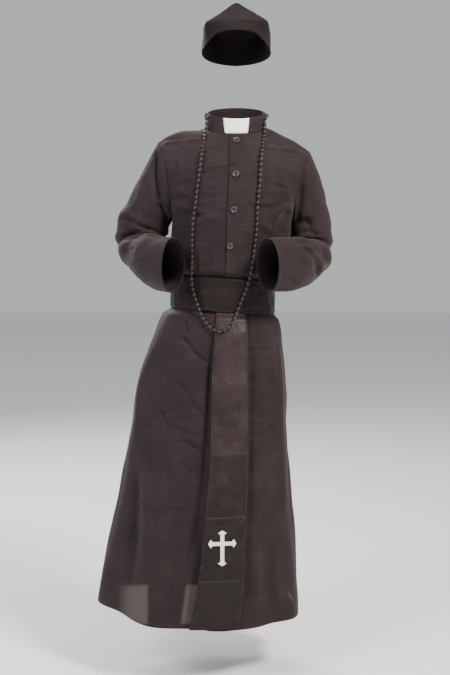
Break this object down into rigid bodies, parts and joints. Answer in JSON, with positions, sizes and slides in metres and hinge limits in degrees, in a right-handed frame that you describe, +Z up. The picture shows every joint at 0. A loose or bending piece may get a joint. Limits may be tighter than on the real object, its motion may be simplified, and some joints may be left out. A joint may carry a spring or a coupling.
{
  "type": "pastor costume",
  "caption": "Worn full-length black robe with stand collar, white collar insert, waist sash with a cross on its hanging tail, bead string and four-gored peaked hat, hollow inside.",
  "frame": {"origin": "middle of the neck opening, at the height where the shoulders meet the neck", "axes": "+Z up along the wearer, -Y out of the wearer's front, +X towards the wearer's left side"},
  "size_m": [0.6391, 0.4058, 1.6438],
  "materials": {
    "robe_cloth": "matt black plain-weave polyester cloth",
    "satin": "black satin-weave cloth with a soft sheen",
    "white_cloth": "matt white cloth",
    "button": "glossy black plastic",
    "beads": "black beads with a dull gloss"
  },
  "bodies": {
    "root": {"robe_front_left": "robe_cloth", "robe_front_right": "robe_cloth", "robe_back_left": "robe_cloth", "robe_back_right": "robe_cloth", "sleeve_left": "robe_cloth", "sleeve_right": "robe_cloth", "collar": "robe_cloth", "collar_insert": "white_cloth", "sash_band": "satin", "sash_tail": "satin", "cross_applique": "white_cloth", "button_1": "button", "button_2": "button", "button_3": "button", "button_4": "button", "bead_string": "beads", "hat_front": "robe_cloth", "hat_left": "robe_cloth", "hat_back": "robe_cloth", "hat_right": "robe_cloth"}
  },
  "joints": []
}
